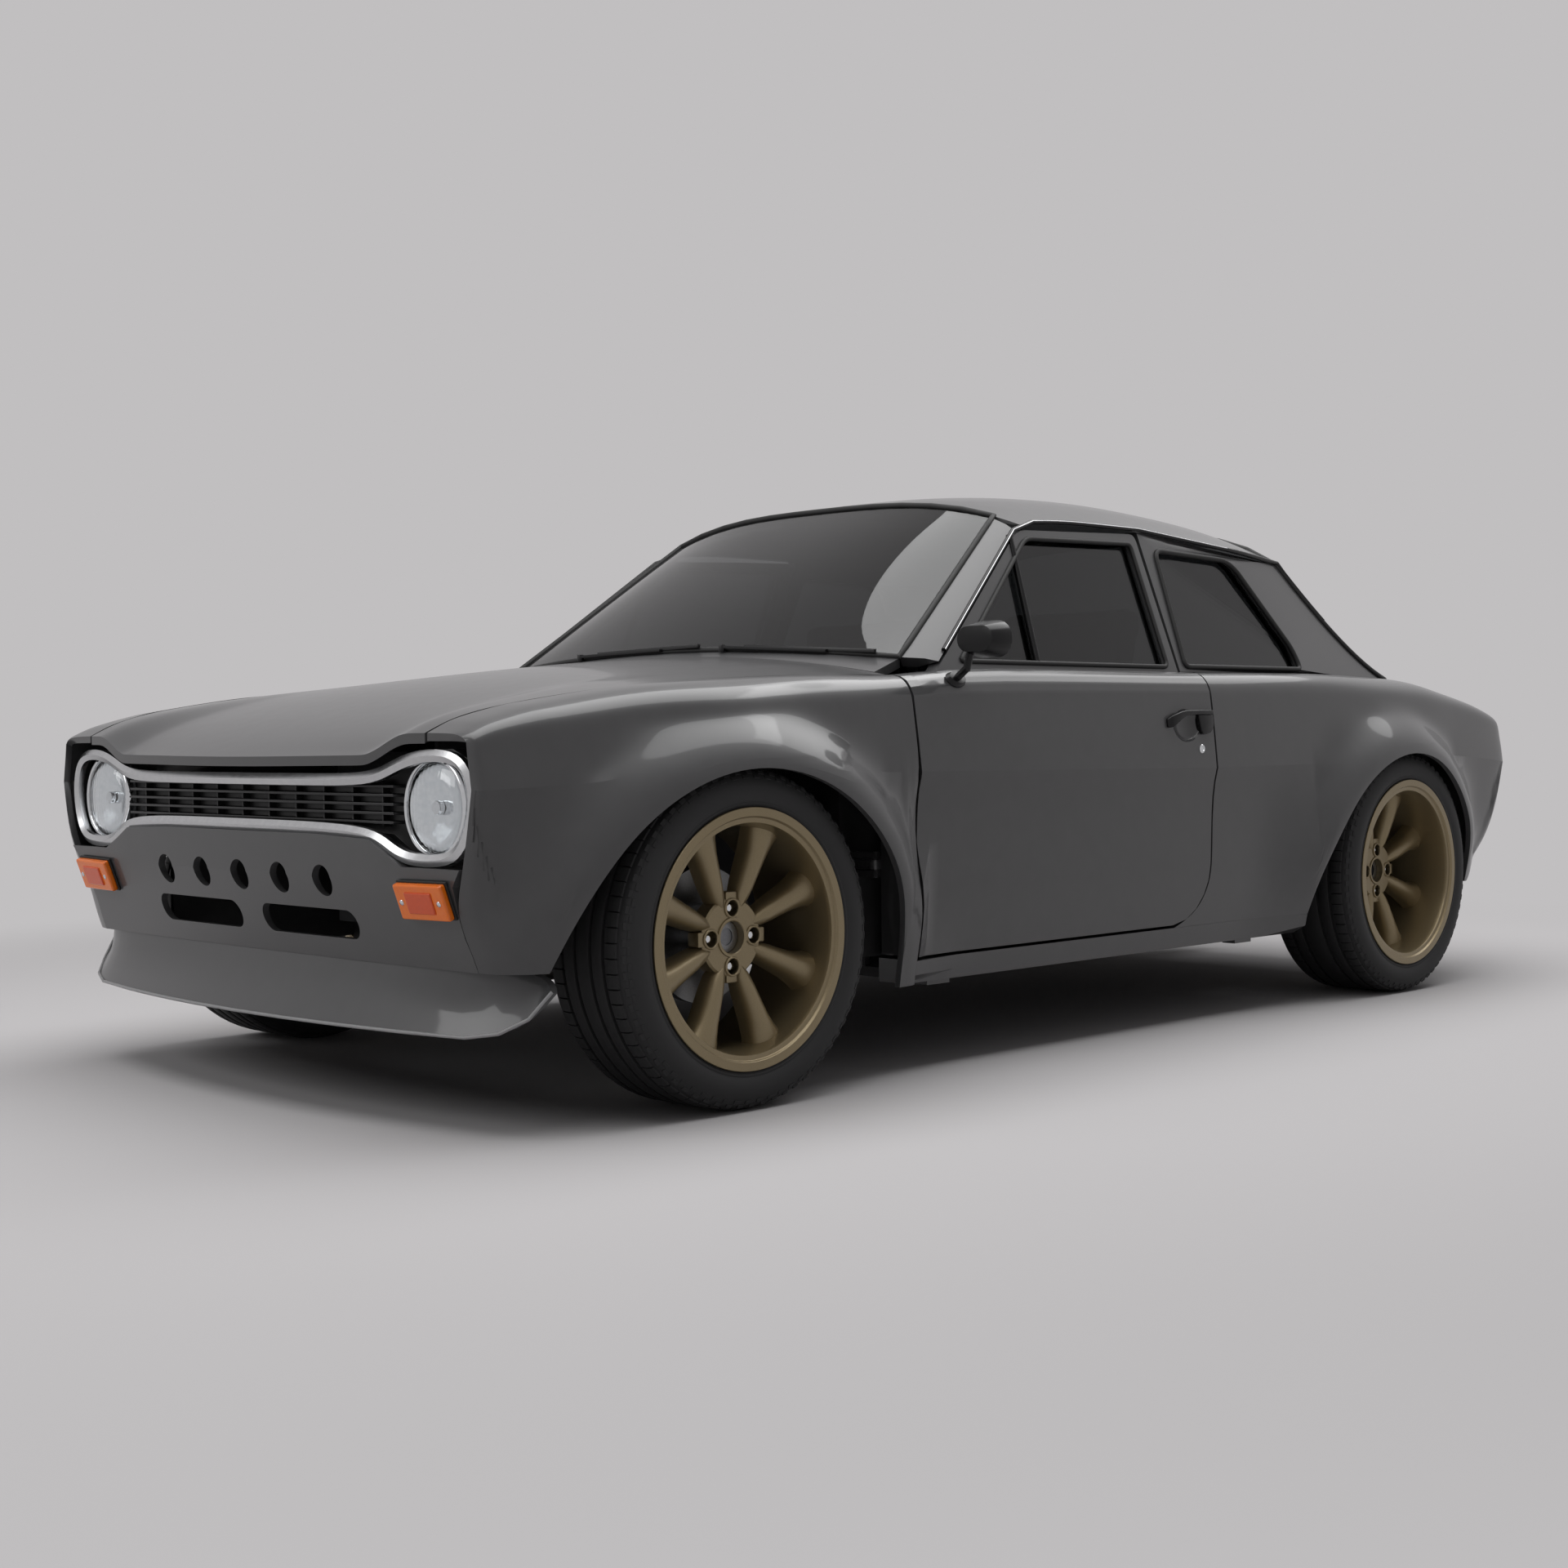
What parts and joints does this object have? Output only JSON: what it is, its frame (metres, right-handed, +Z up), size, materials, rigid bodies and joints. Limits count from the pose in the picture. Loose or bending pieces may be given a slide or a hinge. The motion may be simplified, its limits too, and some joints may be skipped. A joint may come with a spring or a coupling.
{
  "type": "two-door saloon car",
  "caption": "Compact two-door saloon car with swollen wheel arches, dog-bone grille, chin spoiler and deep-dish bronze spoked wheels; doors, lids, steering and wheels move.",
  "frame": {"origin": "middle of the bounding box in plan, on the ground under the tyres", "axes": "+X forward, +Y to the car's left, +Z up"},
  "size_m": [3.777, 1.7377, 1.2806],
  "materials": {
    "shell_paint": "satin",
    "body_paint": "gloss",
    "black_plastic": "satin",
    "window_glass": "gloss",
    "bright_trim": "polished",
    "lamp_glass": "gloss",
    "amber_lens": "gloss",
    "red_lens": "gloss",
    "cabin_trim": "matte",
    "seat_cloth": "matte",
    "wheel_leather": "satin",
    "engine_iron": "matte",
    "exhaust_steel": "satin",
    "chassis_black": "satin",
    "hub_steel": "satin",
    "wheel_bronze": "satin",
    "tyre_rubber": "matte"
  },
  "bodies": {
    "body": {"floor_pan": "shell_paint", "boot_floor": "shell_paint", "wheelhouses": "shell_paint", "engine_bay": "shell_paint", "sill_left": "body_paint", "sill_right": "body_paint", "front_wing_left": "body_paint", "front_wing_right": "body_paint", "quarter_left": "body_paint", "quarter_right": "body_paint", "window_side_left": "body_paint", "window_side_right": "body_paint", "roof": "body_paint", "scuttle": "body_paint", "front_panel": "body_paint", "chin_spoiler": "black_plastic", "rear_panel": "body_paint", "rear_deck": "body_paint", "windscreen": "window_glass", "rear_window": "window_glass", "quarter_glass": "window_glass", "grille": "black_plastic", "grille_surround": "bright_trim", "headlamps": "lamp_glass", "indicators": "amber_lens", "tail_lamps": "red_lens", "wipers": "black_plastic", "dashboard": "cabin_trim", "front_seats": "seat_cloth", "rear_seat": "seat_cloth", "drivetrain": "engine_iron", "exhaust": "exhaust_steel", "front_beam": "chassis_black", "rear_axle": "chassis_black"},
    "door_left": {"door_left": "body_paint", "door_glass_left": "window_glass", "door_mirror": "black_plastic"},
    "door_right": {"door_right": "body_paint", "door_glass_right": "window_glass"},
    "bonnet": {"bonnet": "body_paint"},
    "boot_lid": {"boot_lid": "body_paint"},
    "knuckle_left": {"knuckle_left": "hub_steel"},
    "knuckle_right": {"knuckle_right": "hub_steel"},
    "steering_wheel": {"steering_wheel": "wheel_leather"},
    "wheel_front_left": {"rim_front_left": "wheel_bronze", "tyre_front_left": "tyre_rubber", "disc_front_left": "hub_steel"},
    "wheel_front_right": {"rim_front_right": "wheel_bronze", "tyre_front_right": "tyre_rubber", "disc_front_right": "hub_steel"},
    "wheel_rear_left": {"rim_rear_left": "wheel_bronze", "tyre_rear_left": "tyre_rubber", "drum_rear_left": "hub_steel"},
    "wheel_rear_right": {"rim_rear_right": "wheel_bronze", "tyre_rear_right": "tyre_rubber", "drum_rear_right": "hub_steel"}
  },
  "joints": [
    {"name": "door_left_hinge", "type": "hinge", "parent": "body", "child": "door_left", "pos_m": [0.889, 0.74, 0.56], "axis": [0, 0, -1], "range_deg": [0, 58]},
    {"name": "door_right_hinge", "type": "hinge", "parent": "body", "child": "door_right", "pos_m": [0.889, -0.74, 0.56], "axis": [0, 0, 1], "range_deg": [0, 58]},
    {"name": "bonnet_hinge", "type": "hinge", "parent": "body", "child": "bonnet", "pos_m": [0.743, 0, 0.82207], "axis": [0, -1, 0], "range_deg": [0, 48]},
    {"name": "boot_lid_hinge", "type": "hinge", "parent": "body", "child": "boot_lid", "pos_m": [-1.355, 0, 0.78065], "axis": [0, 1, 0], "range_deg": [0, 58]},
    {"name": "steer_left", "type": "hinge", "parent": "body", "child": "knuckle_left", "pos_m": [1.295, 0.552, 0.316], "axis": [0, 0, 1], "range_deg": [-30, 30]},
    {"name": "steer_right", "type": "hinge", "parent": "body", "child": "knuckle_right", "pos_m": [1.295, -0.552, 0.316], "axis": [0, 0, 1], "range_deg": [-30, 30]},
    {"name": "steering_wheel_turn", "type": "hinge", "parent": "body", "child": "steering_wheel", "pos_m": [0.31, 0.345, 0.745], "axis": [-0.9063, 0, 0.4226], "range_deg": [-420, 420]},
    {"name": "wheel_front_left_spin", "type": "hinge", "parent": "knuckle_left", "child": "wheel_front_left", "pos_m": [1.295, 0.7, 0.316], "axis": [0, 1, 0], "continuous": true},
    {"name": "wheel_front_right_spin", "type": "hinge", "parent": "knuckle_right", "child": "wheel_front_right", "pos_m": [1.295, -0.7, 0.316], "axis": [0, 1, 0], "continuous": true},
    {"name": "wheel_rear_left_spin", "type": "hinge", "parent": "body", "child": "wheel_rear_left", "pos_m": [-1.105, 0.7, 0.316], "axis": [0, 1, 0], "continuous": true},
    {"name": "wheel_rear_right_spin", "type": "hinge", "parent": "body", "child": "wheel_rear_right", "pos_m": [-1.105, -0.7, 0.316], "axis": [0, 1, 0], "continuous": true}
  ],
  "couplings": [
    {"joint": "steer_right", "follows": "steer_left", "ratio": 1},
    {"joint": "steering_wheel_turn", "follows": "steer_left", "ratio": 14}
  ]
}
